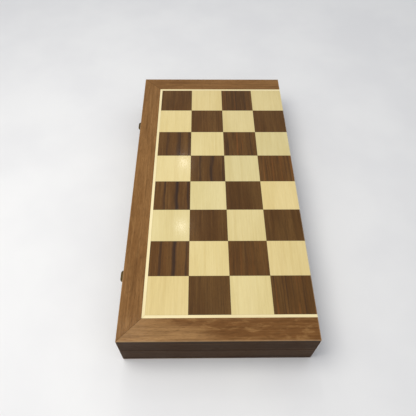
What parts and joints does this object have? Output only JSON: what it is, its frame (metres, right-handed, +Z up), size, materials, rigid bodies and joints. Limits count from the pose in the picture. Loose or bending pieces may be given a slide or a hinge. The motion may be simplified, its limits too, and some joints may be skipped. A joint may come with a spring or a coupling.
{
  "type": "folding chess board",
  "caption": "Folding wooden chess board box: inlaid light and dark squares on two hinged trays, with felt-lined storage inside and snap hasps.",
  "frame": {"origin": "centre of the closed box's base, which is the lower tray's outer face", "axes": "+X towards the hinges, +Y along the box away from the near end, +Z up, with the box lying closed"},
  "size_m": [0.1989, 0.381, 0.052],
  "materials": {
    "maple": "satin",
    "walnut": "satin",
    "border_wood": "satin",
    "wall_wood": "satin",
    "plywood": "plain",
    "felt": "felt",
    "hinge_brass": "satin",
    "hasp_brass": "antique"
  },
  "bodies": {
    "lower": {"lower_light_squares": "maple", "lower_dark_squares": "walnut", "lower_latch_stringing": "maple", "lower_near_stringing": "maple", "lower_far_stringing": "maple", "lower_latch_rail": "border_wood", "lower_near_rail": "border_wood", "lower_far_rail": "border_wood", "lower_core_panel": "plywood", "lower_felt_lining": "felt", "lower_near_wall": "wall_wood", "lower_far_wall": "wall_wood", "lower_hinge_wall": "wall_wood", "lower_latch_wall": "wall_wood", "near_hinge_lower_leaf": "hinge_brass", "near_hinge_lower_screws": "hinge_brass", "near_hinge_pin": "hinge_brass", "far_hinge_lower_leaf": "hinge_brass", "far_hinge_lower_screws": "hinge_brass", "far_hinge_pin": "hinge_brass", "near_hasp_base": "hasp_brass", "near_hasp_base_nails": "hasp_brass", "near_hasp_pin": "hasp_brass", "far_hasp_base": "hasp_brass", "far_hasp_base_nails": "hasp_brass", "far_hasp_pin": "hasp_brass"},
    "upper": {"upper_light_squares": "maple", "upper_dark_squares": "walnut", "upper_latch_stringing": "maple", "upper_near_stringing": "maple", "upper_far_stringing": "maple", "upper_latch_rail": "border_wood", "upper_near_rail": "border_wood", "upper_far_rail": "border_wood", "upper_core_panel": "plywood", "upper_felt_lining": "felt", "upper_near_wall": "wall_wood", "upper_far_wall": "wall_wood", "upper_hinge_wall": "wall_wood", "upper_latch_wall": "wall_wood", "near_hinge_upper_leaf": "hinge_brass", "near_hinge_upper_screws": "hinge_brass", "far_hinge_upper_leaf": "hinge_brass", "far_hinge_upper_screws": "hinge_brass", "near_hasp_catch": "hasp_brass", "near_hasp_catch_nails": "hasp_brass", "far_hasp_catch": "hasp_brass", "far_hasp_catch_nails": "hasp_brass"},
    "near_flap": {"near_hasp_flap": "hasp_brass"},
    "far_flap": {"far_hasp_flap": "hasp_brass"}
  },
  "joints": [
    {"name": "fold", "type": "hinge", "parent": "lower", "child": "upper", "pos_m": [0.09535, 0, 0.026], "axis": [0, 1, 0], "range_deg": [0, 180]},
    {"name": "near_flap_swing", "type": "hinge", "parent": "lower", "child": "near_flap", "pos_m": [-0.097, -0.114, 0.0185], "axis": [0, -1, 0], "range_deg": [0, 160]},
    {"name": "far_flap_swing", "type": "hinge", "parent": "lower", "child": "far_flap", "pos_m": [-0.097, 0.114, 0.0185], "axis": [0, -1, 0], "range_deg": [0, 160]}
  ]
}
